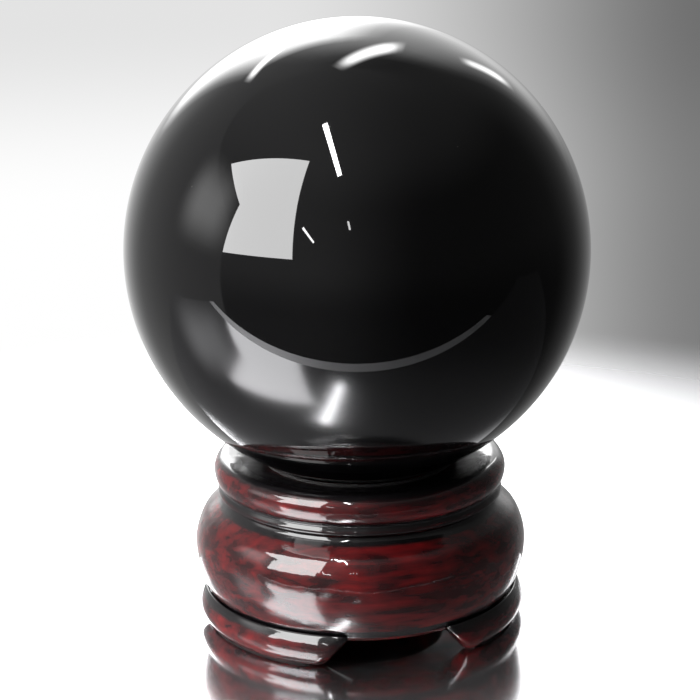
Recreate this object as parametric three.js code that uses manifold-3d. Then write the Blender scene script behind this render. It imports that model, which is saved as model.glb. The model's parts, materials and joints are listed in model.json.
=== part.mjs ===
// Crystal ball on a turned wooden stand: a polished black stone sphere that rests, loose, in a felt-lined
// ring on a hollow drum with three feet. Millimetres, +Z up, origin on the table under the ball's centre.
// Azimuths are in degrees from the front (-Y) towards the right (+X).
import * as THREE from 'three';
import { ConvexGeometry } from 'three/addons/geometries/ConvexGeometry.js';
import { mergeVertices } from 'three/addons/utils/BufferGeometryUtils.js';
import Module from 'manifold-3d';

const wasm = await Module();
wasm.setup();

// Driving dimensions.
const BALL_RADIUS = 50;
const STAND_HEIGHT = 37.2; // table to the crest of the rim
const BALL_SINK = 4.9; // how far the ball's lowest point lies below the crest
const BORE_RADIUS = 18; // the well that runs up through the drum and the rim
const SEAM = 0.3; // glue line left between two turned pieces
const SEGMENTS = 48; // facets round every turned piece

// Drum: a slow swell below its widest level; above it a shoulder that turns in at a crease, then runs up a
// slope into a cove under the rim. Angles are slopes of the outward normal, in degrees.
const DRUM_RADIUS = 36.4;
const DRUM_WIDEST_Z = 17.3;
const DRUM_BOTTOM_Z = 5.8;
const SWELL_RADIUS = 21;
const SHOULDER_RADIUS = 12;
const SHOULDER_END = 31;
const CREASE_RADIUS = 5;
const CREASE_END = 52;
const SLOPE_LENGTH = 3.8;
const COVE_RADIUS = 1.4;

// Rim: a skirt that stands on the drum, a fat bead with a tighter turn at its upper edge, a crest, a gentle
// slope in towards the ball, and the hollow seat.
const SKIRT_RADIUS = 31.3;
const SKIRT_BOTTOM_Z = 28.65;
const SKIRT_BEAD_RADIUS = 1.9;
const SKIRT_WIDEST_Z = 28.9;
const SKIRT_END = 56;
const RIM_RADIUS = 32;
const RIM_WIDEST_Z = 33.8;
const RIM_BELLY_RADIUS = 4.6;
const RIM_BELLY_START = -45;
const RIM_BELLY_END = 15;
const RIM_EDGE_RADIUS = 2.6;
const RIM_EDGE_END = 40;
const RIM_CROWN_RADIUS = 6;
const RIM_CROWN_END = 50;
const CREST_RADIUS = 2;
const CREST_END = 100;
const SEAT_RADIUS = 21.6; // where the slope meets the hollow seat

// Felt: a thin seat ring under the ball and a thin pad under each foot.
const BALL_CLEARANCE = 0.25;
const SEAT_FELT_THICKNESS = 0.7;
const FELT_GAP = 0.15;
const SEAT_FELT_RADIUS = 21.3;
const SEAT_FELT_SIDE_GAP = 0.3;
const PAD_THICKNESS = 0.4;
const PAD_OUTER_RADIUS = 34.2;
const PAD_INNER_RADIUS = 32;
const PAD_HALF_ANGLE = 25;
const PAD_SHIFT = 2; // the skewed notches move each foot's middle by this many degrees

// Feet: one turned base ring that three notches part into three feet. A thin lip at its outer edge climbs up
// the foot of the drum.
const FOOT_COUNT = 3;
const FOOT_PITCH = 360 / FOOT_COUNT;
const FOOT_RADIUS = 36;
const FOOT_WIDEST_Z = 3.5;
const FOOT_BELLY_RADIUS = 4;
const FOOT_BELLY_START = -45;
const FOOT_BELLY_END = 12;
const FOOT_CROWN_RADIUS = 8;
const FOOT_CROWN_END = 38;
const FOOT_SHELF_Z = DRUM_BOTTOM_Z - SEAM;
const FOOT_REACH_Z = 8; // just above the tip of the lip
const FOOT_BOTTOM_RADIUS = 34.6;
const RECESS_BOTTOM_RADIUS = 31.5;
const RECESS_TOP_RADIUS = 27;

// Notches: wider at the table than at their top, with walls that flare outwards, and the carver's tool
// leans off the radial line.
const NOTCH_BOTTOM_HALF_ANGLE = 28;
const NOTCH_TOP_HALF_ANGLE = 18;
const NOTCH_FLARE = 28;
const NOTCH_SKEW = 12;
const NOTCH_OUTREACH = 8;
const NOTCH_INREACH = 14;
const SECTOR_REACH = 80;

const ballCentreZ = STAND_HEIGHT - BALL_SINK + BALL_RADIUS;

const stone = new THREE.MeshStandardMaterial({ color: 0x0b0b0d, roughness: 0.05, metalness: 0 });
const rosewood = new THREE.MeshStandardMaterial({ color: 0x4a0d0c, roughness: 0.15, metalness: 0 });
const felt = new THREE.MeshStandardMaterial({ color: 0x1a1516, roughness: 0.95, metalness: 0 });

const part = new THREE.Group();

function addPiece(name, geometry, material) {
  const mesh = new THREE.Mesh(geometry, material);
  mesh.name = name;
  part.add(mesh);
}

// Outline points as (radius, height), on an ellipse between two angles in degrees.
function bend(centreRadius, centreZ, radiusAcross, radiusUp, fromAngle, toAngle, steps) {
  const points = [];
  for (let step = 0; step <= steps; step += 1) {
    const angle = THREE.MathUtils.degToRad(fromAngle + ((toAngle - fromAngle) * step) / steps);
    const radius = centreRadius + radiusAcross * Math.cos(angle);
    points.push(new THREE.Vector2(radius, centreZ + radiusUp * Math.sin(angle)));
  }
  return points;
}

// Goes on from the end of an outline, tangent to it, until the outward normal has another slope. A negative
// radius makes a hollow.
function extendBend(outline, radius, fromAngle, toAngle, steps) {
  const last = outline.at(-1);
  const angle = THREE.MathUtils.degToRad(fromAngle);
  const centreRadius = last.x - radius * Math.cos(angle);
  const centreZ = last.y - radius * Math.sin(angle);
  outline.push(...bend(centreRadius, centreZ, radius, radius, fromAngle, toAngle, steps).slice(1));
}

// Goes on from the end of an outline along a straight line whose outward normal has the given slope.
function extendLine(outline, length, normalAngle) {
  const last = outline.at(-1);
  const angle = THREE.MathUtils.degToRad(normalAngle);
  outline.push(new THREE.Vector2(last.x - length * Math.sin(angle), last.y + length * Math.cos(angle)));
}

// Angle on the drum's swell, or on a circle a little outside it, at a given height.
function swellAngle(z, gap) {
  return -THREE.MathUtils.radToDeg(Math.asin((DRUM_WIDEST_Z - z) / (SWELL_RADIUS + gap)));
}

function swellArc(gap, fromZ, toZ, steps) {
  const radius = SWELL_RADIUS + gap;
  const centreRadius = DRUM_RADIUS - SWELL_RADIUS;
  const fromAngle = swellAngle(fromZ, gap);
  return bend(centreRadius, DRUM_WIDEST_Z, radius, radius, fromAngle, swellAngle(toZ, gap), steps);
}

// Outline points on a sphere about the ball's centre, seen from below, between two distances from the axis.
function underBall(sphereRadius, fromRadius, toRadius, steps) {
  const points = [];
  for (let step = 0; step <= steps; step += 1) {
    const radius = fromRadius + ((toRadius - fromRadius) * step) / steps;
    points.push(new THREE.Vector2(radius, ballCentreZ - Math.sqrt(sphereRadius ** 2 - radius ** 2)));
  }
  return points;
}

// A ring turned about the Z axis from a closed outline that runs anticlockwise.
function turnedRing(outline) {
  const geometry = new THREE.LatheGeometry([...outline, outline[0].clone()], SEGMENTS);
  geometry.rotateX(Math.PI / 2);
  return geometry;
}

function polar(azimuth, radius) {
  const angle = THREE.MathUtils.degToRad(azimuth);
  return new THREE.Vector2(radius * Math.sin(angle), -radius * Math.cos(angle));
}

function corner(point, z) {
  return new THREE.Vector3(point.x, point.y, z);
}

function toSolid(geometry) {
  const bare = geometry.clone();
  bare.deleteAttribute('normal');
  bare.deleteAttribute('uv');
  const welded = mergeVertices(bare);
  const vertProperties = new Float32Array(welded.attributes.position.array);
  const triVerts = new Uint32Array(welded.index.array);
  return new wasm.Manifold(new wasm.Mesh({ numProp: 3, vertProperties, triVerts }));
}

function toGeometry(solid) {
  const mesh = solid.getMesh();
  const geometry = new THREE.BufferGeometry();
  geometry.setAttribute('position', new THREE.BufferAttribute(mesh.vertProperties, 3));
  geometry.setIndex(new THREE.BufferAttribute(mesh.triVerts, 1));
  geometry.computeVertexNormals();
  return geometry;
}

function makeBall() {
  const meridian = bend(0, ballCentreZ, BALL_RADIUS, BALL_RADIUS, -90, 90, SEGMENTS / 2);
  meridian[0].x = 0;
  meridian[SEGMENTS / 2].x = 0;
  const geometry = new THREE.LatheGeometry(meridian, SEGMENTS);
  geometry.rotateX(Math.PI / 2);
  addPiece('ball', geometry, stone);
}

function makeSeatFelt() {
  const top = BALL_RADIUS + BALL_CLEARANCE;
  const inner = BORE_RADIUS + SEAT_FELT_SIDE_GAP;
  const outline = [
    ...underBall(top + SEAT_FELT_THICKNESS, inner, SEAT_FELT_RADIUS, 2),
    ...underBall(top, SEAT_FELT_RADIUS, inner, 2),
  ];
  addPiece('seat_felt', turnedRing(outline), felt);
}

function makeRim() {
  const bottomZ = SKIRT_BOTTOM_Z;
  const skirtStart = -THREE.MathUtils.radToDeg(Math.asin((SKIRT_WIDEST_Z - bottomZ) / SKIRT_BEAD_RADIUS));
  const skirtCentre = SKIRT_RADIUS - SKIRT_BEAD_RADIUS;
  const bellyCentre = RIM_RADIUS - RIM_BELLY_RADIUS;
  const seatSphere = BALL_RADIUS + BALL_CLEARANCE + SEAT_FELT_THICKNESS + FELT_GAP;
  const outline = [
    new THREE.Vector2(BORE_RADIUS, bottomZ),
    ...bend(skirtCentre, SKIRT_WIDEST_Z, SKIRT_BEAD_RADIUS, SKIRT_BEAD_RADIUS, skirtStart, SKIRT_END, 4),
    ...bend(
      bellyCentre, RIM_WIDEST_Z,
      RIM_BELLY_RADIUS, RIM_BELLY_RADIUS,
      RIM_BELLY_START, RIM_BELLY_END, 5,
    ),
  ];
  extendBend(outline, RIM_EDGE_RADIUS, RIM_BELLY_END, RIM_EDGE_END, 3);
  extendBend(outline, RIM_CROWN_RADIUS, RIM_EDGE_END, RIM_CROWN_END, 1);
  extendBend(outline, CREST_RADIUS, RIM_CROWN_END, CREST_END, 3);
  outline.push(...underBall(seatSphere, SEAT_RADIUS, BORE_RADIUS, 3));
  addPiece('rim_ring', turnedRing(outline), rosewood);
}

// The four plan corners of a notch: both walls, each from inside the ring to outside it.
function notchPlan(azimuth, halfAngle) {
  return [-1, 1].flatMap((side) => {
    const edge = polar(azimuth + side * halfAngle, FOOT_RADIUS);
    const outward = polar(azimuth - NOTCH_SKEW + side * NOTCH_FLARE, 1);
    return [NOTCH_OUTREACH, -NOTCH_INREACH].map((reach) => edge.clone().addScaledVector(outward, reach));
  });
}

function notchCutter(azimuth) {
  const floor = notchPlan(azimuth, NOTCH_BOTTOM_HALF_ANGLE).map((point) => corner(point, 0));
  const ceiling = notchPlan(azimuth, NOTCH_TOP_HALF_ANGLE).map((point) => corner(point, FOOT_REACH_Z));
  return toSolid(new ConvexGeometry([...floor, ...ceiling]));
}

// Everything between the middle of one notch and the middle of the next.
function footSector(azimuth) {
  const rays = [0, 0.5, 1].map((share) => polar(azimuth + share * FOOT_PITCH, SECTOR_REACH));
  const plan = [new THREE.Vector2(0, 0), ...rays];
  const corners = [0, FOOT_REACH_Z].flatMap((z) => plan.map((point) => corner(point, z)));
  return toSolid(new ConvexGeometry(corners));
}

function makeDrum() {
  const outline = [
    new THREE.Vector2(BORE_RADIUS, DRUM_BOTTOM_Z),
    ...swellArc(0, DRUM_BOTTOM_Z, DRUM_WIDEST_Z, 6),
  ];
  extendBend(outline, SHOULDER_RADIUS, 0, SHOULDER_END, 3);
  extendBend(outline, CREASE_RADIUS, SHOULDER_END, CREASE_END, 3);
  extendLine(outline, SLOPE_LENGTH, CREASE_END);
  extendBend(outline, -COVE_RADIUS, CREASE_END, 0, 3);
  outline.push(new THREE.Vector2(BORE_RADIUS, outline.at(-1).y));
  addPiece('drum', turnedRing(outline), rosewood);
}

function makeFeet(names) {
  const bellyCentre = FOOT_RADIUS - FOOT_BELLY_RADIUS;
  const outline = [
    new THREE.Vector2(RECESS_BOTTOM_RADIUS, PAD_THICKNESS),
    new THREE.Vector2(FOOT_BOTTOM_RADIUS, PAD_THICKNESS),
    ...bend(
      bellyCentre, FOOT_WIDEST_Z,
      FOOT_BELLY_RADIUS, FOOT_BELLY_RADIUS,
      FOOT_BELLY_START, FOOT_BELLY_END, 5,
    ),
  ];
  extendBend(outline, FOOT_CROWN_RADIUS, FOOT_BELLY_END, FOOT_CROWN_END, 4);
  outline.push(
    ...swellArc(SEAM, outline.at(-1).y, FOOT_SHELF_Z, 2),
    new THREE.Vector2(RECESS_TOP_RADIUS, FOOT_SHELF_Z),
  );
  let base = toSolid(turnedRing(outline));
  for (let index = 0; index < FOOT_COUNT; index += 1) {
    base = base.subtract(notchCutter(index * FOOT_PITCH));
  }
  names.forEach((name, index) => {
    addPiece(name, toGeometry(base.intersect(footSector(index * FOOT_PITCH))), rosewood);
  });
}

function makePads(names) {
  names.forEach((name, index) => {
    // Shape angles run from +X, a quarter turn on from the azimuths used here.
    const middle = (index + 0.5) * FOOT_PITCH + PAD_SHIFT - 90;
    const start = THREE.MathUtils.degToRad(middle - PAD_HALF_ANGLE);
    const end = THREE.MathUtils.degToRad(middle + PAD_HALF_ANGLE);
    const shape = new THREE.Shape();
    shape.absarc(0, 0, PAD_OUTER_RADIUS, start, end, false);
    shape.absarc(0, 0, PAD_INNER_RADIUS, end, start, true);
    shape.closePath();
    const settings = { depth: PAD_THICKNESS, bevelEnabled: false, curveSegments: 8 };
    addPiece(name, new THREE.ExtrudeGeometry(shape, settings), felt);
  });
}

makeBall();
makeSeatFelt();
makeRim();
makeDrum();
makeFeet(['foot_right', 'foot_back', 'foot_left']);
makePads(['foot_pad_right', 'foot_pad_back', 'foot_pad_left']);

export default part;
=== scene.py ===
"""Looks of a polished black stone ball on a lacquered rosewood stand.

The frame is in metres: +Z up, the table at Z = 0 and the ball's axis at X = Y = 0. Azimuths are in degrees
from the front (-Y) towards the right (+X).
"""
import json
import math
from collections import namedtuple

import bmesh
import bpy
import numpy as np
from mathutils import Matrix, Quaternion, Vector

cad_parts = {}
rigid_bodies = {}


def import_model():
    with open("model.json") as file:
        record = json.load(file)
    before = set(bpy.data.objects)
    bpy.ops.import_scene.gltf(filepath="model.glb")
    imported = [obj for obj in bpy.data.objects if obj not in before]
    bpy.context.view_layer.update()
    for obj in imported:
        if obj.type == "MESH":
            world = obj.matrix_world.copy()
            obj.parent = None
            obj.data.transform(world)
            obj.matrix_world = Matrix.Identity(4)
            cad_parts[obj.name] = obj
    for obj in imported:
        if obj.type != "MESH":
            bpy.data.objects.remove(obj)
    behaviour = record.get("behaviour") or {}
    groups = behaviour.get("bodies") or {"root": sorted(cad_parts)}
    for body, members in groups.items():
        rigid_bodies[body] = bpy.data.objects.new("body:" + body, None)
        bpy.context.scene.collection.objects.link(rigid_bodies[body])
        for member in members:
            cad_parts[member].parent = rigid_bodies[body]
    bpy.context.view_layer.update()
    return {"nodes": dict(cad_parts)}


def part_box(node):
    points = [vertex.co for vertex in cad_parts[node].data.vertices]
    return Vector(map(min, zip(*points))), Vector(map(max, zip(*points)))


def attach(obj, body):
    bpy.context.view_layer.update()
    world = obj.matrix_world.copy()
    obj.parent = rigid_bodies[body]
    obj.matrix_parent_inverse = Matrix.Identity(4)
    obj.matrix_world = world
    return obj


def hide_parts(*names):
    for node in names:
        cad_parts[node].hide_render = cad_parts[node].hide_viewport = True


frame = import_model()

MM = 0.001

# Camera, from the ball's centre.
CAMERA_DISTANCE = 0.519
CAMERA_AZIMUTH = -13
CAMERA_ELEVATION = 14.5
CAMERA_LENS = 124.25
CAMERA_ROLL = -0.69
AIM_RIGHT = -1.8 * MM
AIM_UP = -22.3 * MM

# Mesh fineness.
STEP = 0.42 * MM  # between points along an outline
EDGE = 0.28 * MM  # softness of lacquered edges
RING_STEPS = 480
BALL_SUBDIVISIONS = 7

# Turned outlines, where the frame's boxes don't give them.
SKIRT_RADIUS = 31.3 * MM
SKIRT_BEAD = 1.9 * MM
SKIRT_RISE = 0.25 * MM  # from the skirt's edge up to its widest level
SKIRT_END = 56  # slopes of the outward normal are in degrees
RIM_WIDEST = 33.8 * MM
RIM_BELLY = 4.6 * MM
RIM_BELLY_START = -45
RIM_BELLY_END = 15
RIM_EDGE = 2.6 * MM
RIM_EDGE_END = 40
RIM_CROWN = 6 * MM
RIM_CROWN_END = 50
CREST_BEND = 2 * MM
CREST_END = 100
SEAT_RADIUS = 21.6 * MM  # where the slope inside the crest meets the hollow seat
SEAT_GAP = 1.1 * MM  # from the ball down to the seat turned in the rim
DRUM_WIDEST = 17.3 * MM
SWELL_RADIUS = 21 * MM
SHOULDER_RADIUS = 12 * MM
SHOULDER_END = 31
CREASE_RADIUS = 5 * MM
CREASE_END = 52
SLOPE = 3.8 * MM
COVE_RADIUS = 1.4 * MM
GRIT_COUNT = 110  # nibs in the one rough patch of lacquer
GRIT_AZIMUTHS = (-31, -13)
GRIT_HEIGHTS = (20 * MM, 24.5 * MM)
FOOT_WIDEST = 3.5 * MM
FOOT_BELLY = 4 * MM
FOOT_BELLY_START = -45
FOOT_BELLY_END = 12
FOOT_CROWN = 8 * MM
FOOT_CROWN_END = 38
FOOT_GAP = 0.2 * MM  # between the drum and the foot's lip
FOOT_BOTTOM_INSET = 1.4 * MM
RECESS_RADIUS = 31.5 * MM

# Foot pads.
PAD_STATIONS = 90
PAD_ROUNDED_SHARE = 0.03  # of a pad's length, at each end

# Lacquer.
BARE_RADIUS = 24 * MM  # inside this the wood is stained, but not lacquered
LACQUER_RADIUS = 27.5 * MM  # outside this the lacquer has its full thickness
RIPPLE_COUNT = 40
RIPPLE_HEIGHT = 0.028 * MM
FINE_RIPPLE_HEIGHT = 0.004 * MM
VERTICES_PER_NIB = 900

# Notches between the feet.
FOOT_PITCH = 120
NOTCH_BOTTOM_HALF = 28
NOTCH_TOP_HALF = 18
NOTCH_FLARE = 28
NOTCH_SKEW = 12
FOOT_END_ROUNDING = 2.3 * MM
FOOT_END_TAPER = (0.62, 0.22)  # how much of a foot's width and height its rounded ends lose
FOOT_END_STEPS = 12  # stations along each rounding
FOOT_CAP_STEPS = 7  # shrinking rings that close each end
FOOT_CAP_SCALES = (0.12, 0.96)

# Stage. Panels are (name, corners, radiance, softness); see make_panel.
FLOOR_SOLID = 0.12
FLOOR_REACH = 0.23
FLOOR_ROUGHNESS = (0.10, 0.3)
FLOOR_METALLIC = (0.99, 0.85)  # near the stand and further out, as in the other pairs below
FLOOR_CHANGE = 0.095  # distance at which the further value is reached
FLOOR_STEPS = 96
TABLETOP_ROUGHNESS = (0.17, 0.17)
TABLETOP_METALLIC = (1, 1)
TABLE_EDGE_METALLIC = (0.6, 0.6)
TABLE_EDGE_ROUGHNESS = (0.5, 0.5)
TABLE_FRONT = 0.1175
TABLE_RIGHT = 0.6
TABLE_EDGE_RIGHT = 0.22
TABLE_LEFT = 0.33
TABLE_BACK = 0.025
TABLE_EDGE = 0.014  # width of the dull strip along the tabletop's front
TABLE_DROP = 0.1 * MM  # below the floor that the camera sees
PANEL_STEPS = 13
PANELS = [
    ("window_upper", [(-83, 37, 0.84), (-34, 53, 0.6), (-32, 33, 0.6), (-64, 26, 0.84)], 14, (0, 0)),
    ("window_lower", [(-64, 26, 0.84), (-32, 33, 0.6), (-30, 9, 0.6), (-66, 6, 0.84)], 14, (0, 0)),
    ("window_glow", [(-104, 36, 0.95), (-62, 36, 0.95), (-62, 2, 0.95), (-101, 2, 0.95)], 2.2, (0.4, 0.45)),
    ("tube_front", [(-48.5, 72, 3), (-45.5, 74, 3), (-10, 50, 3), (-12.5, 49, 3)], 90, (0, 0)),
    ("tube_small", [(-28, 23, 3), (-27.5, 24, 3), (-21, 17.7, 3), (-21.5, 17, 3)], 30, (0, 0)),
    ("tube_tiny", [(-5, 28, 3), (-4, 28, 3), (-3, 24, 3), (-4, 24, 3)], 16, (0, 0)),
    ("tube_left", [(-140, 38.5, 3), (-166, 30, 3), (-162, 37, 3), (-136, 44, 3)], 16, (0.3, 0.5)),
    ("tube_back", [(-162, 64, 3), (166, 36, 3), (160, 50, 3), (-168, 71, 3)], 20, (0.3, 0.5)),
    ("tube_right", [(157, 28, 3), (157, 12, 3), (149, 16, 3), (150, 34, 3)], 6, (0.3, 0.5)),
    ("back_light", [(-140, 40, 3), (172, 46, 3), (172, 0, 3), (-149, 2, 3)], 6.5, (0.4, 0.2)),
    ("back_glow", [(-150, 60, 3), (138, 50, 3), (142, -6, 3), (-150, -4, 3)], 1.5, (0.4, 0.3)),
]

# The panels above are only mirrored. This one isn't: it lights matt colour from the left.
KEY_PANEL = ("key", [(-95, 50, 0.9), (-50, 50, 0.9), (-50, 5, 0.9), (-95, 5, 0.9)], 28, (0.3, 0.3))

# Radiance of the surroundings, as (left, right) where there are two values.
BACKDROP_LIGHT = (0.5, 0.17)
BACKDROP_BOOST = 2.2  # straight behind the object
ROOM_LIGHT = (0.36, 0.065)
CEILING_LIGHT = 0.12
SEEN_LIGHT = (1, 0.205)  # what the camera itself sees
SEEN_ABOVE = 0.77  # how much of it is left above the floor

Span = namedtuple("Span", "inner outer bottom top")


def span(node):
    """Inner and outer radius, bottom and top of a CAD node that goes round the Z axis."""
    points = np.array([vertex.co for vertex in frame["nodes"][node].data.vertices])
    radii = np.hypot(points[:, 0], points[:, 1])
    return Span(radii.min(), radii.max(), points[:, 2].min(), points[:, 2].max())


ball_low, ball_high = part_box("ball")
ball_centre = (ball_low + ball_high) / 2
ball_radius = (ball_high.z - ball_low.z) / 2
rim = span("rim_ring")
drum = span("drum")
foot = span("foot_right")


def direction(azimuth, elevation):
    """Unit vector out from the axis; azimuth 0 is the front, 90 the right."""
    turn = math.radians(azimuth)
    climb = math.radians(elevation)
    flat = math.cos(climb)
    return Vector((math.sin(turn) * flat, -math.cos(turn) * flat, math.sin(climb)))


# ---------------------------------------------------------------- meshes


def point(radius, height):
    return np.array([[radius, height]])


def arc(centre, across, up, start, end):
    """Outline points on an ellipse about centre, between two angles in degrees."""
    turn = math.radians(end - start)
    steps = max(2, math.ceil(abs(turn * max(across, up)) / STEP * 2))
    angles = math.radians(start) + turn * np.linspace(0, 1, steps + 1)
    return np.column_stack([centre[0] + across * np.cos(angles), centre[1] + up * np.sin(angles)])


def follow(start_point, radius, start, end):
    """Outline points that go on from a point, whose outward normal turns from one slope to another.

    Slopes are in degrees above the horizontal; a negative radius makes a hollow.
    """
    slope = math.radians(start)
    centre = start_point - radius * np.array([math.cos(slope), math.sin(slope)])
    return arc(centre, radius, radius, start, end)


def under_ball(gap, start, end):
    """Outline points that keep a gap below the ball, between two radii."""
    radii = np.linspace(start, end, 12)
    return np.column_stack([radii, ball_centre.z - np.sqrt((ball_radius + gap) ** 2 - radii**2)])


def even_outline(*parts):
    """Joins outline parts into a closed line of evenly spaced points with softened corners."""
    corners = np.vstack([*parts, parts[0][:1]])
    along = np.append(0, np.cumsum(np.hypot(*np.diff(corners, axis=0).T)))
    count = round(along[-1] / STEP)
    marks = np.arange(count) * along[-1] / count
    line = np.column_stack([np.interp(marks, along, corners[:, axis]) for axis in (0, 1)])
    offsets = np.arange(-3, 4)
    weights = np.exp(-0.5 * (offsets * STEP / EDGE) ** 2)
    weights /= weights.sum()
    return sum(weight * np.roll(line, offset, axis=0) for weight, offset in zip(weights, offsets))


def polar_points(radii, azimuths, heights):
    """Points from radius, azimuth in radians and height, in any shapes that broadcast together."""
    radii, azimuths, heights = np.broadcast_arrays(radii, azimuths, heights)
    across = radii * np.sin(azimuths)
    return np.stack([across, -radii * np.cos(azimuths), heights], axis=-1).reshape(-1, 3)


def grid_faces(rows, columns, wrap_columns):
    """Quads over points stored row by row; the rows always close on themselves."""
    last = columns if wrap_columns else columns - 1
    row, column = np.meshgrid(np.arange(rows), np.arange(last), indexing="ij")
    next_row = (row + 1) % rows
    next_column = (column + 1) % columns
    corners = [(row, column), (row, next_column), (next_row, next_column), (next_row, column)]
    return np.stack([r * columns + c for r, c in corners], axis=-1).reshape(-1, 4)


def mesh_object(name, points, faces):
    mesh = bpy.data.meshes.new(name)
    mesh.from_pydata(np.asarray(points).tolist(), [], [list(map(int, face)) for face in faces])
    mesh.shade_smooth()
    piece = bpy.data.objects.new(name, mesh)
    bpy.context.scene.collection.objects.link(piece)
    return piece


def turned(name, outline):
    """A ring turned about the Z axis from an anticlockwise outline."""
    azimuths = np.linspace(0, 2 * math.pi, RING_STEPS, endpoint=False)
    points = polar_points(outline[:, :1], azimuths[None, :], outline[:, 1:])
    return mesh_object(name, points, grid_faces(len(outline), RING_STEPS, wrap_columns=True))


def swept(name, loops, starts, ends, shares, centres):
    """A bar that follows the ring from one end to the other and is closed at both ends.

    Station i has the section loops[i], and lies shares[i] of the way from azimuth starts[i] to ends[i];
    centres gives the (radius, azimuth, height) point that closes each end.
    """
    rows = len(loops[0])
    columns = len(loops)
    radii = np.stack([loop[:, 0] for loop in loops], axis=1)
    heights = np.stack([loop[:, 1] for loop in loops], axis=1)
    azimuths = np.stack([s + (e - s) * share for s, e, share in zip(starts, ends, shares)], axis=1)
    points = polar_points(radii, azimuths, heights)
    caps = polar_points(*[np.array(values) for values in zip(*centres)])
    faces = grid_faces(rows, columns, wrap_columns=False).tolist()
    for row in range(rows):
        following = (row + 1) % rows
        faces.append([rows * columns, row * columns, following * columns])
        faces.append([rows * columns + 1, (following + 1) * columns - 1, (row + 1) * columns - 1])
    return mesh_object(name, np.vstack([points, caps]), faces)


panel_faces = [
    [row * PANEL_STEPS + column + step for step in (0, 1, PANEL_STEPS + 1, PANEL_STEPS)]
    for row in range(PANEL_STEPS - 1)
    for column in range(PANEL_STEPS - 1)
]


def vertices_of(piece):
    values = np.empty(len(piece.data.vertices) * 3)
    piece.data.vertices.foreach_get("co", values)
    return values.reshape(-1, 3)


def normals_of(piece):
    values = np.empty(len(piece.data.vertices) * 3)
    piece.data.vertices.foreach_get("normal", values)
    return values.reshape(-1, 3)


def raise_surface(piece, heights):
    """Moves each vertex along its normal."""
    moved = vertices_of(piece) + normals_of(piece) * heights[:, None]
    piece.data.vertices.foreach_set("co", moved.ravel())
    piece.data.update()


# ---------------------------------------------------------------- surface relief


def waves(points, count, shortest, longest, flatten, seed):
    """A smooth random field of about unit size: plane waves, stretched round the ring by flatten."""
    random = np.random.default_rng(seed)
    azimuths = np.arctan2(points[:, 0], -points[:, 1])
    radius = np.hypot(points[:, 0], points[:, 1])
    turns = np.stack([np.sin(azimuths), -np.cos(azimuths)], axis=1) * radius[:, None]
    places = np.column_stack([turns / flatten, points[:, 2]])
    field = np.zeros(len(points))
    for _ in range(count):
        heading = random.normal(size=3)
        heading *= 2 * math.pi / (np.linalg.norm(heading) * random.uniform(shortest, longest))
        field += np.cos(places @ heading + random.uniform(0, 2 * math.pi))
    return field / math.sqrt(count / 2)


def bumps(points, centres, sizes, heights):
    """Round bumps: a sum of soft domes about the given centres."""
    field = np.zeros(len(points))
    for centre, size, height in zip(centres, sizes, heights):
        near = np.sum((points - centre) ** 2, axis=1)
        field += height * np.exp(-0.5 * near / size**2)
    return field


def scattered(points, count, random, azimuths=(-180, 180), heights=(0, 1)):
    """Random vertices of a piece inside a range of azimuth and height."""
    turn = np.degrees(np.arctan2(points[:, 0], -points[:, 1]))
    inside = (turn > azimuths[0]) & (turn < azimuths[1])
    inside &= (points[:, 2] > heights[0]) & (points[:, 2] < heights[1])
    return points[random.choice(np.flatnonzero(inside), count)]


def lacquer_relief(piece, seed):
    """Thick hand-brushed lacquer: slow ripples round the ring, and a few nibs of dust under it."""
    random = np.random.default_rng(seed)
    points = vertices_of(piece)
    ripple = RIPPLE_HEIGHT * waves(points, RIPPLE_COUNT, 4 * MM, 12 * MM, 2.2, seed)
    ripple += FINE_RIPPLE_HEIGHT * waves(points, RIPPLE_COUNT, 1.4 * MM, 3 * MM, 1.6, seed + 1)
    count = len(points) // VERTICES_PER_NIB
    nibs = scattered(points, count, random)
    sizes = random.uniform(0.25, 0.6, count) * MM
    heights = random.uniform(0.02, 0.08, count) * MM
    ripple += bumps(points, nibs, sizes, heights)
    raise_surface(piece, ripple)


def paint_shade(piece, grooves):
    """Stores painted shade at each vertex: how much darker the lacquer's colour is painted where shade
    falls.

    It is darkest at the given places in grooves, in creases and under the ball, as (radius, height, reach).
    """
    points = vertices_of(piece)
    radius = np.hypot(points[:, 0], points[:, 1])
    shade = np.zeros(len(points))
    for groove_radius, height, reach in grooves:
        away = (radius - groove_radius) ** 2 + (points[:, 2] - height) ** 2
        shade = np.maximum(shade, np.exp(-0.5 * away / reach**2))
    # Painted shade: the darkness that these places get in the lacquer's colour.
    layer = piece.data.attributes.new("painted_shade", "FLOAT", "POINT")
    layer.data.foreach_set("value", shade)


# ---------------------------------------------------------------- materials


def add_node(tree, kind, settings=(), inputs=()):
    """Adds a shader node, sets its settings, and fills or links its inputs."""
    node = tree.nodes.new(kind)
    for key, value in dict(settings).items():
        setattr(node, key, value)
    for key, value in dict(inputs).items():
        if isinstance(value, bpy.types.NodeSocket):
            tree.links.new(value, node.inputs[key])
        else:
            node.inputs[key].default_value = value
    return node


def object_places(tree, lengths):
    """Object coordinates divided by the wanted size of the pattern along X, Y and Z."""
    places = add_node(tree, "ShaderNodeTexCoord").outputs["Object"]
    scale = [1 / length for length in lengths]
    inputs = {"Vector": places, "Scale": scale}
    mapped = add_node(tree, "ShaderNodeMapping", {"vector_type": "POINT"}, inputs)
    return mapped.outputs["Vector"]


def noise(tree, lengths, detail=3, roughness=0.5, offset=0, distortion=0):
    """Noise between 0 and 1 whose features are about as long as the given sizes."""
    settings = {"noise_dimensions": "4D"}
    inputs = {
        "Vector": object_places(tree, lengths),
        "W": offset,
        "Scale": 1,
        "Detail": detail,
        "Roughness": roughness,
        "Distortion": distortion,
    }
    return add_node(tree, "ShaderNodeTexNoise", settings, inputs).outputs["Fac"]


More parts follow.
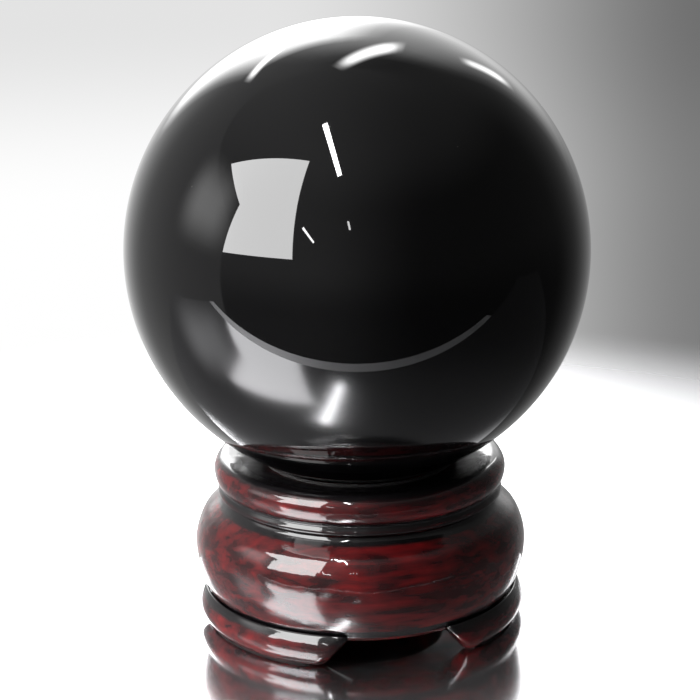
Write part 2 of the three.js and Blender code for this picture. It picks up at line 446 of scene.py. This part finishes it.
def remap(tree, value, low, high, to_low=0.0, to_high=1.0):
    """Smooth step from to_low to to_high while value goes from low to high."""
    inputs = {"Value": value, 1: low, 2: high, 3: to_low, 4: to_high}
    settings = {"interpolation_type": "SMOOTHSTEP"}
    return add_node(tree, "ShaderNodeMapRange", settings, inputs).outputs["Result"]


def combine(tree, operation, first, second):
    inputs = {0: first, 1: second}
    return add_node(tree, "ShaderNodeMath", {"operation": operation}, inputs).outputs["Value"]


def weighted(tree, *terms):
    """Sum of two values, each given with its weight."""
    first, second = [combine(tree, "MULTIPLY", value, weight) for value, weight in terms]
    return combine(tree, "ADD", first, second)


def ramp(tree, factor, stops):
    """Colour ramp from (position, colour) stops."""
    node = add_node(tree, "ShaderNodeValToRGB", {}, {"Fac": factor})
    elements = node.color_ramp.elements
    for element, (position, colour) in zip(elements, stops):
        element.position = position
        element.color = (*colour, 1)
    for position, colour in stops[2:]:
        elements.new(position).color = (*colour, 1)
    return node.outputs["Color"]


def mix_colour(tree, factor, first, second, blend="MIX"):
    settings = {"data_type": "RGBA", "blend_type": blend}
    node = add_node(tree, "ShaderNodeMix", settings, {0: factor})
    for index, value in ((6, first), (7, second)):
        if isinstance(value, bpy.types.NodeSocket):
            tree.links.new(value, node.inputs[index])
        else:
            node.inputs[index].default_value = (*value, 1)
    return node.outputs[2]


def bump(tree, height, distance, normal=None):
    inputs = {"Height": height, "Distance": distance, "Strength": 1}
    if normal:
        inputs["Normal"] = normal
    return add_node(tree, "ShaderNodeBump", {}, inputs).outputs["Normal"]


def new_material(name):
    """A material with only its Principled shader, its node tree and that shader."""
    material = bpy.data.materials.new(name)
    material.use_nodes = True
    return material, material.node_tree, material.node_tree.nodes["Principled BSDF"]


def fill(tree, shader, values):
    """Sets or links inputs of the Principled shader."""
    for key, value in values.items():
        if isinstance(value, bpy.types.NodeSocket):
            tree.links.new(value, shader.inputs[key])
        elif isinstance(value, tuple):
            shader.inputs[key].default_value = (*value, 1)
        else:
            shader.inputs[key].default_value = value


def rosewood_material():
    """Red-stained hardwood with its grain along X, under thick glossy lacquer.

    Painted shade darkens the grooves, the creases and the rim's top under the ball, and the lacquer ends
    inside the crest.
    """
    material, tree, shader = new_material("lacquered_rosewood")
    streaks = noise(tree, (14 * MM, 3 * MM, 1.8 * MM), detail=4, roughness=0.5, distortion=0.6)
    blotches = noise(tree, (13 * MM, 10 * MM, 7 * MM), detail=3, offset=4)
    fibres = noise(tree, (9 * MM, 0.35 * MM, 0.3 * MM), detail=2, offset=9)
    figure = weighted(tree, (streaks, 0.55), (blotches, 0.45))
    figure = weighted(tree, (figure, 1), (combine(tree, "SUBTRACT", fibres, 0.5), 0.07))
    stain = ramp(tree, figure, [
        (0.36, (0.006, 0.0008, 0.0012)),
        (0.80, (0.26, 0.0070, 0.006)),
        (0.47, (0.026, 0.0013, 0.0020)),
        (0.60, (0.085, 0.0028, 0.0035)),
    ])
    # Painted shade: where the stored shade, broken up by random clouds, is high, the stain is mixed to near
    # black.
    painted_shade = add_node(tree, "ShaderNodeAttribute", {"attribute_name": "painted_shade"}).outputs["Fac"]
    clouds = noise(tree, (7 * MM, 7 * MM, 2.5 * MM), detail=4, offset=15)
    painted_shade = weighted(tree, (painted_shade, 1), (combine(tree, "SUBTRACT", clouds, 0.5), 0.6))
    colour = mix_colour(tree, remap(tree, painted_shade, 0.25, 0.75), stain, (0.0035, 0.003, 0.0035))
    peel = noise(tree, (1.3 * MM, 1.3 * MM, 1.0 * MM), detail=2, offset=21)
    skin = bump(tree, peel, 0.014 * MM)
    pores = bump(tree, fibres, 0.02 * MM, skin)
    haze = noise(tree, (3 * MM, 3 * MM, 1.5 * MM), detail=4, offset=27)
    places = add_node(tree, "ShaderNodeTexCoord").outputs["Object"]
    flat = add_node(tree, "ShaderNodeVectorMath", {"operation": "MULTIPLY"}, {0: places, 1: (1, 1, 0)})
    flat = flat.outputs["Vector"]
    radius = add_node(tree, "ShaderNodeVectorMath", {"operation": "LENGTH"}, {0: flat}).outputs["Value"]
    fill(tree, shader, {
        "Base Color": colour,
        "Roughness": remap(tree, haze, 0.3, 0.7, 0.30, 0.48),
        "Normal": pores,
        "IOR": 1.5,
        "Specular IOR Level": 0.06,
        "Coat Weight": remap(tree, radius, BARE_RADIUS, LACQUER_RADIUS),
        "Coat Roughness": 0.045,
        "Coat IOR": 1.5,
        "Coat Normal": skin,
    })
    return material


def stone_material():
    """Polished black obsidian: almost no colour of its own, with faint smudges and specks of dust."""
    material, tree, shader = new_material("black_stone")
    clouds = noise(tree, (26 * MM, 26 * MM, 26 * MM), detail=4)
    specks = noise(tree, (0.9 * MM, 0.9 * MM, 0.9 * MM), detail=1, offset=7)
    smudges = noise(tree, (15 * MM, 9 * MM, 15 * MM), detail=5, roughness=0.6, offset=3)
    body = ramp(tree, clouds, [(0.3, (0.0007, 0.0007, 0.0009)), (0.75, (0.0017, 0.0016, 0.0018))])
    dust = remap(tree, specks, 0.80, 0.84)
    fill(tree, shader, {
        "Base Color": mix_colour(tree, dust, body, (0.055, 0.053, 0.05)),
        "Roughness": remap(tree, smudges, 0.35, 0.75, 0.012, 0.035),
        "Normal": bump(tree, dust, 0.004 * MM),
        "IOR": 1.5,
    })
    return material


def felt_material():
    """Dark pressed felt with loose fibres."""
    material, tree, shader = new_material("felt")
    fibres = noise(tree, (0.5 * MM, 0.5 * MM, 0.5 * MM), detail=6, roughness=0.7, distortion=1.5)
    clumps = noise(tree, (2.5 * MM, 2.5 * MM, 2.5 * MM), detail=3, offset=5)
    tangle = weighted(tree, (fibres, 0.7), (clumps, 0.3))
    fill(tree, shader, {
        "Base Color": ramp(tree, tangle, [(0.35, (0.004, 0.0035, 0.0035)), (0.68, (0.022, 0.018, 0.019))]),
        "Roughness": remap(tree, clumps, 0.3, 0.7, 0.82, 0.98),
        "Normal": bump(tree, fibres, 0.12 * MM),
        "Sheen Weight": 0.12,
        "Sheen Roughness": 0.5,
    })
    return material


# ---------------------------------------------------------------- pieces


def finish_piece(piece, node, body, material):
    """Puts a piece in place of a CAD node, on its body, in its slot's material."""
    piece.data.materials.append(material)
    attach(piece, body)
    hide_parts(node)
    return piece


def make_ball(material):
    shape = bmesh.new()
    bmesh.ops.create_icosphere(shape, subdivisions=BALL_SUBDIVISIONS, radius=ball_radius)
    bmesh.ops.translate(shape, verts=shape.verts, vec=ball_centre)
    mesh = bpy.data.meshes.new("stone_ball")
    shape.to_mesh(mesh)
    shape.free()
    mesh.shade_smooth()
    piece = bpy.data.objects.new("stone_ball", mesh)
    bpy.context.scene.collection.objects.link(piece)
    points = vertices_of(piece)
    raise_surface(piece, 0.004 * MM * waves(points, 30, 25 * MM, 60 * MM, 1, seed=3))
    finish_piece(piece, "ball", "ball", material)


def make_rim(material):
    skirt_centre = (SKIRT_RADIUS - SKIRT_BEAD, rim.bottom + SKIRT_RISE)
    belly_centre = (rim.outer - RIM_BELLY, RIM_WIDEST)
    belly = arc(belly_centre, RIM_BELLY, RIM_BELLY, RIM_BELLY_START, RIM_BELLY_END)
    edge = follow(belly[-1], RIM_EDGE, RIM_BELLY_END, RIM_EDGE_END)
    crown = follow(edge[-1], RIM_CROWN, RIM_EDGE_END, RIM_CROWN_END)
    crest = follow(crown[-1], CREST_BEND, RIM_CROWN_END, CREST_END)
    outline = even_outline(
        point(rim.inner, rim.bottom),
        arc(skirt_centre, SKIRT_BEAD, SKIRT_BEAD, -8, SKIRT_END),
        belly,
        edge,
        crown,
        crest,
        under_ball(SEAT_GAP, SEAT_RADIUS, rim.inner),
    )
    piece = turned("rim_lacquered", outline)
    # Painted shade under the belly and the skirt, inside the crest and on the rim's top under the ball.
    paint_shade(piece, [
        (*belly[0], 1.0 * MM),
        (SKIRT_RADIUS, rim.bottom - 0.3 * MM, 0.9 * MM),
        (*crest[-1], 2.0 * MM),
        (SEAT_RADIUS + 3 * MM, rim.top, 3.0 * MM),
    ])
    lacquer_relief(piece, seed=11)
    finish_piece(piece, "rim_ring", "stand", material)


def swell_arc(gap, start, end):
    """Outline points on the drum's swell, or a gap outside it, from one height up or down to another."""
    radius = SWELL_RADIUS + gap
    angles = [-math.degrees(math.asin((DRUM_WIDEST - height) / radius)) for height in (start, end)]
    return arc((drum.outer - SWELL_RADIUS, DRUM_WIDEST), radius, radius, *angles)


def make_drum(material):
    swell = swell_arc(0, drum.bottom, DRUM_WIDEST)
    shoulder = follow(swell[-1], SHOULDER_RADIUS, 0, SHOULDER_END)
    crease = follow(shoulder[-1], CREASE_RADIUS, SHOULDER_END, CREASE_END)
    downhill = math.radians(CREASE_END)
    slope_end = crease[-1] + SLOPE * np.array([-math.sin(downhill), math.cos(downhill)])
    cove = follow(slope_end, -COVE_RADIUS, CREASE_END, 0)
    outline = even_outline(
        point(drum.inner, drum.bottom), swell, shoulder, crease, cove, point(drum.inner, drum.top)
    )
    piece = turned("drum_lacquered", outline)
    # Painted shade in the groove under the neck and where the drum meets the feet.
    paint_shade(piece, [
        (*slope_end, 1.1 * MM),
        (*swell_arc(0, foot.top, DRUM_WIDEST)[0], 0.8 * MM),
    ])
    lacquer_relief(piece, seed=23)
    random = np.random.default_rng(61)
    points = vertices_of(piece)
    grit = scattered(points, GRIT_COUNT, random, GRIT_AZIMUTHS, GRIT_HEIGHTS)
    sizes = random.uniform(0.3, 0.55, GRIT_COUNT) * MM
    raise_surface(piece, bumps(points, grit, sizes, random.uniform(0.01, 0.035, GRIT_COUNT) * MM))
    finish_piece(piece, "drum", "stand", material)


def wall_azimuth(loop, notch, side):
    """Azimuth, in radians, of a notch's wall at each (radius, height) point of a loop."""
    climb = np.clip(loop[:, 1] / foot.top, 0, 1)
    half = NOTCH_BOTTOM_HALF + (NOTCH_TOP_HALF - NOTCH_BOTTOM_HALF) * climb
    lean = np.tan(np.radians(side * (half - NOTCH_FLARE) + NOTCH_SKEW))
    return np.radians(notch + side * half) + lean * (foot.outer - loop[:, 0]) / loop[:, 0]


def make_foot(index, name, material):
    shelf = drum.bottom - FOOT_GAP
    belly_centre = (foot.outer - FOOT_BELLY, FOOT_WIDEST)
    belly = arc(belly_centre, FOOT_BELLY, FOOT_BELLY, FOOT_BELLY_START, FOOT_BELLY_END)
    crown = follow(belly[-1], FOOT_CROWN, FOOT_BELLY_END, FOOT_CROWN_END)
    section = even_outline(
        point(RECESS_RADIUS, foot.bottom),
        point(foot.outer - FOOT_BOTTOM_INSET, foot.bottom),
        belly,
        crown,
        swell_arc(FOOT_GAP, crown[-1][1], shelf),
        point(foot.inner, shelf),
    )
    middle = np.array([RECESS_RADIUS + 2 * MM, FOOT_WIDEST])
    start = wall_azimuth(section, index * FOOT_PITCH, 1)
    end = wall_azimuth(section, (index + 1) * FOOT_PITCH, -1)
    length = float(np.mean(end - start)) * middle[0]
    turns = np.linspace(0, math.pi / 2, FOOT_END_STEPS)
    depths = FOOT_END_ROUNDING * (1 - np.cos(turns))
    rounding = 1 - np.sin(turns)
    inner_steps = round(length / (1.5 * STEP))
    body = np.linspace(FOOT_END_ROUNDING, length - FOOT_END_ROUNDING, inner_steps)[1:-1]
    cap = np.ones(FOOT_CAP_STEPS)
    cap_scales = np.linspace(*FOOT_CAP_SCALES, FOOT_CAP_STEPS)
    tapers = np.concatenate([cap, rounding, 0 * body, rounding[::-1], cap])
    full_size = np.ones(len(body) + 2 * FOOT_END_STEPS)
    scales = np.concatenate([cap_scales, full_size, cap_scales[::-1]])
    places = np.concatenate([0 * cap, depths, body, length - depths[::-1], length * cap])
    loops = [
        middle + (section - middle) * (1 - np.array(FOOT_END_TAPER) * taper) * scale
        for taper, scale in zip(tapers, scales)
    ]
    starts = [wall_azimuth(loop, index * FOOT_PITCH, 1) for loop in loops]
    ends = [wall_azimuth(loop, (index + 1) * FOOT_PITCH, -1) for loop in loops]
    centres = [
        (middle[0], wall_azimuth(middle[None, :], notch * FOOT_PITCH, side)[0], middle[1])
        for notch, side in ((index, 1), (index + 1, -1))
    ]
    piece = swept(f"{name}_lacquered", loops, starts, ends, places / length, centres)
    # Painted shade along the foot's top, where it meets the drum.
    paint_shade(piece, [(*crown[-1], 1.9 * MM)])
    lacquer_relief(piece, seed=31 + index)
    finish_piece(piece, name, "stand", material)


def make_seat_felt(material):
    felt = span("seat_felt")
    outline = even_outline(
        under_ball(0.95 * MM, felt.inner, felt.outer),
        under_ball(0.3 * MM, felt.outer, felt.inner),
    )
    piece = turned("seat_felt_ring", outline)
    raise_surface(piece, 0.03 * MM * waves(vertices_of(piece), 60, 0.9 * MM, 3 * MM, 1, seed=41))
    finish_piece(piece, "seat_felt", "stand", material)


def make_pad(name, material):
    pad = span(name)
    points = np.array([vertex.co for vertex in frame["nodes"][name].data.vertices])
    middle_point = points.mean(axis=0)
    middle_turn = math.atan2(middle_point[0], -middle_point[1])
    turns = np.arctan2(points[:, 0], -points[:, 1]) - middle_turn
    turns = (turns + math.pi) % (2 * math.pi) - math.pi
    half = turns.max()
    section = even_outline(
        point(pad.inner, pad.bottom),
        point(pad.outer, pad.bottom),
        point(pad.outer, pad.top),
        point(pad.inner, pad.top),
    )
    middle = section.mean(axis=0)
    shares = np.linspace(0, 1, PAD_STATIONS)
    short_of_full = np.clip(1 - np.minimum(shares, 1 - shares) / PAD_ROUNDED_SHARE, 0, 1)
    rounding = np.sqrt(np.clip(1 - short_of_full**2, 0.02, 1))
    loops = [middle + (section - middle) * [scale, 1] for scale in rounding]
    starts = [np.full(len(section), middle_turn - half)] * len(loops)
    ends = [np.full(len(section), middle_turn + half)] * len(loops)
    centres = [(middle[0], middle_turn - half, middle[1]), (middle[0], middle_turn + half, middle[1])]
    piece = swept(f"{name}_felt", loops, starts, ends, shares, centres)
    finish_piece(piece, name, "stand", material)


# ---------------------------------------------------------------- stage


def make_camera():
    lens = bpy.data.cameras.new("camera")
    lens.lens = CAMERA_LENS
    camera = bpy.data.objects.new("camera", lens)
    bpy.context.scene.collection.objects.link(camera)
    back = direction(CAMERA_AZIMUTH, CAMERA_ELEVATION)
    right = Vector((0, 0, 1)).cross(back).normalized()
    aim = ball_centre + right * AIM_RIGHT + Vector((0, 0, AIM_UP))
    camera.location = ball_centre + back * CAMERA_DISTANCE
    level = (aim - camera.location).to_track_quat("-Z", "Y")
    camera.rotation_mode = "QUATERNION"
    camera.rotation_quaternion = level @ Quaternion((0, 0, 1), math.radians(CAMERA_ROLL))
    bpy.context.scene.camera = camera


def stage_direction(azimuth, elevation):
    """Direction in which azimuth 0 is towards the camera and 90 to its right."""
    return direction(CAMERA_AZIMUTH + azimuth, elevation)


def show_only_to(name, *rays):
    """Leaves a stage object visible to these kinds of ray only."""
    thing = bpy.data.objects[name]
    for ray in ("camera", "diffuse", "glossy", "transmission", "volume_scatter", "shadow"):
        setattr(thing, f"visible_{ray}", ray in rays)


def glow_material():
    """Light of the panels: each vertex says how bright its panel is there."""
    material = bpy.data.materials.new("panel_light")
    material.use_nodes = True
    tree = material.node_tree
    tree.nodes.clear()
    glow = add_node(tree, "ShaderNodeAttribute", {"attribute_name": "glow"}).outputs["Fac"]
    light = add_node(tree, "ShaderNodeEmission", {}, {"Strength": glow})
    clear = add_node(tree, "ShaderNodeBsdfTransparent")
    parts = {0: light.outputs["Emission"], 1: clear.outputs["BSDF"]}
    both = add_node(tree, "ShaderNodeAddShader", {}, parts)
    add_node(tree, "ShaderNodeOutputMaterial", {}, {"Surface": both.outputs["Shader"]})
    return material


def soft_edge(share, softness):
    """0 at both ends of 0..1 and 1 in the middle; softness is the share that each edge takes."""
    if not softness:
        return np.ones_like(share)
    rise = np.clip(np.minimum(share, 1 - share) / softness, 0, 1)
    return rise * rise * (3 - 2 * rise)


def make_panel(name, corners, radiance, softness, ray):
    """A glowing four-cornered panel, hidden from the camera.

    corners are (azimuth, elevation, distance from the ball's centre), in order round the panel. softness is
    how much of the panel's first and second side fades out towards its edges.
    """
    first, second, third, fourth = [
        np.array(ball_centre + stage_direction(azimuth, elevation) * distance)
        for azimuth, elevation, distance in corners
    ]
    across, along = np.meshgrid(np.linspace(0, 1, PANEL_STEPS), np.linspace(0, 1, PANEL_STEPS))
    u = across.ravel()[:, None]
    v = along.ravel()[:, None]
    places = (first * (1 - u) + second * u) * (1 - v) + (fourth * (1 - u) + third * u) * v
    piece = mesh_object(name, places, panel_faces)
    glow = radiance * soft_edge(u, softness[0]) * soft_edge(v, softness[1])
    layer = piece.data.attributes.new("glow", "FLOAT", "POINT")
    layer.data.foreach_set("value", glow.ravel())
    piece.data.materials.append(panel_light)
    show_only_to(name, ray)


def studio_world():
    """Plain soft surroundings by direction.

    Light and reflections come from a white backdrop behind and to the left, and from a dim room elsewhere.
    The camera itself sees a pale gradient, white on the left and light grey on the right.
    """
    world = bpy.data.worlds.new("studio")
    bpy.context.scene.world = world
    world.use_nodes = True
    tree = world.node_tree
    heading = add_node(tree, "ShaderNodeTexCoord").outputs["Generated"]

    def along(axis):
        inputs = {0: heading, 1: axis}
        return add_node(tree, "ShaderNodeVectorMath", {"operation": "DOT_PRODUCT"}, inputs).outputs["Value"]

    def scale(value, factor):
        return combine(tree, "MULTIPLY", value, factor)

    side = along(stage_direction(90, 0))
    up = along(Vector((0, 0, 1)))
    front = along(stage_direction(0, 0))
    edge_left = remap(tree, up, 0.25, 0.8, 0.37, -0.4)
    edge_right = remap(tree, up, 0.4, 0.9, -0.6, -0.36)
    inside = combine(tree, "SUBTRACT", remap(tree, side, -0.25, 0.2, edge_left, edge_right), front)
    softness = remap(tree, side, 0, 0.5, 0.015, 0.25)
    is_backdrop = remap(tree, combine(tree, "DIVIDE", inside, softness), -1, 1)
    backdrop = remap(tree, side, -0.35, 0.25, *BACKDROP_LIGHT)
    backdrop = scale(backdrop, remap(tree, front, -0.6, -1, 1, BACKDROP_BOOST))
    room = scale(remap(tree, side, -0.5, 0.55, *ROOM_LIGHT), remap(tree, up, -0.3, 0.1, 0.5, 1))
    room = combine(tree, "ADD", room, remap(tree, up, 0.5, 0.9, 0, CEILING_LIGHT))
    tone = mix_colour(tree, is_backdrop, room, backdrop)
    seen_across = remap(tree, side, -0.04, 0.15, *SEEN_LIGHT)
    seen = scale(seen_across, remap(tree, up, -0.23, -0.155, 1, SEEN_ABOVE))
    is_seen = add_node(tree, "ShaderNodeLightPath").outputs["Is Camera Ray"]
    tree.links.new(mix_colour(tree, is_seen, tone, seen), tree.nodes["Background"].inputs["Color"])


def floor_material(name, metallic, roughness, faded):
    """Pale glossy tabletop; a faded one vanishes softly at its rim."""
    material, tree, shader = new_material(name)
    places = add_node(tree, "ShaderNodeTexCoord").outputs["Object"]
    distance = add_node(tree, "ShaderNodeVectorMath", {"operation": "LENGTH"}, {0: places}).outputs["Value"]

    def by_distance(values):
        return remap(tree, distance, foot.outer, FLOOR_CHANGE, *values)

    fill(tree, shader, {
        "Base Color": (0.80, 0.80, 0.82),
        "Metallic": by_distance(metallic),
        "Roughness": by_distance(roughness),
    })
    if faded:
        fill(tree, shader, {"Alpha": remap(tree, distance, FLOOR_SOLID, FLOOR_REACH, 1, 0)})
    return material


def floor_outline():
    turns = np.linspace(0, 2 * math.pi, FLOOR_STEPS, endpoint=False)
    return polar_points(FLOOR_REACH, turns, 0)


def table_outline(front, back, right):
    """Part of the tabletop that the object mirrors, between two distances in front of the axis."""
    corners = [(-TABLE_LEFT, front), (right, front), (right, back), (-TABLE_LEFT, back)]
    rightward = stage_direction(90, 0)
    forward = stage_direction(0, 0)
    down = Vector((0, 0, -TABLE_DROP))
    return np.array([rightward * across + forward * near + down for across, near in corners])


def make_floor(name, outline, metallic, roughness, faded):
    piece = mesh_object(name, outline, [list(range(len(outline)))])
    piece.data.materials.append(floor_material(name, metallic, roughness, faded))


make_camera()

wood = rosewood_material()
panel_light = glow_material()
stone = stone_material()
felt_cloth = felt_material()
make_ball(stone)
make_rim(wood)
make_drum(wood)
for index, name in enumerate(["foot_right", "foot_back", "foot_left"]):
    make_foot(index, name, wood)
make_seat_felt(felt_cloth)
for name in ["foot_pad_right", "foot_pad_back", "foot_pad_left"]:
    make_pad(name, felt_cloth)

studio_world()
for name, corners, radiance, softness in PANELS:
    make_panel(name, corners, radiance, softness, "glossy")
make_panel(*KEY_PANEL, "diffuse")
make_floor("floor", floor_outline(), FLOOR_METALLIC, FLOOR_ROUGHNESS, faded=True)
top_outline = table_outline(TABLE_FRONT, -TABLE_BACK, TABLE_RIGHT)
edge_outline = table_outline(TABLE_FRONT + TABLE_EDGE, TABLE_FRONT, TABLE_EDGE_RIGHT)
make_floor("tabletop", top_outline, TABLETOP_METALLIC, TABLETOP_ROUGHNESS, faded=False)
make_floor("table_edge", edge_outline, TABLE_EDGE_METALLIC, TABLE_EDGE_ROUGHNESS, faded=False)
show_only_to("floor", "camera", "diffuse")
show_only_to("tabletop", "glossy", "shadow")
show_only_to("table_edge", "glossy")
bpy.context.scene.view_settings.view_transform = "Standard"
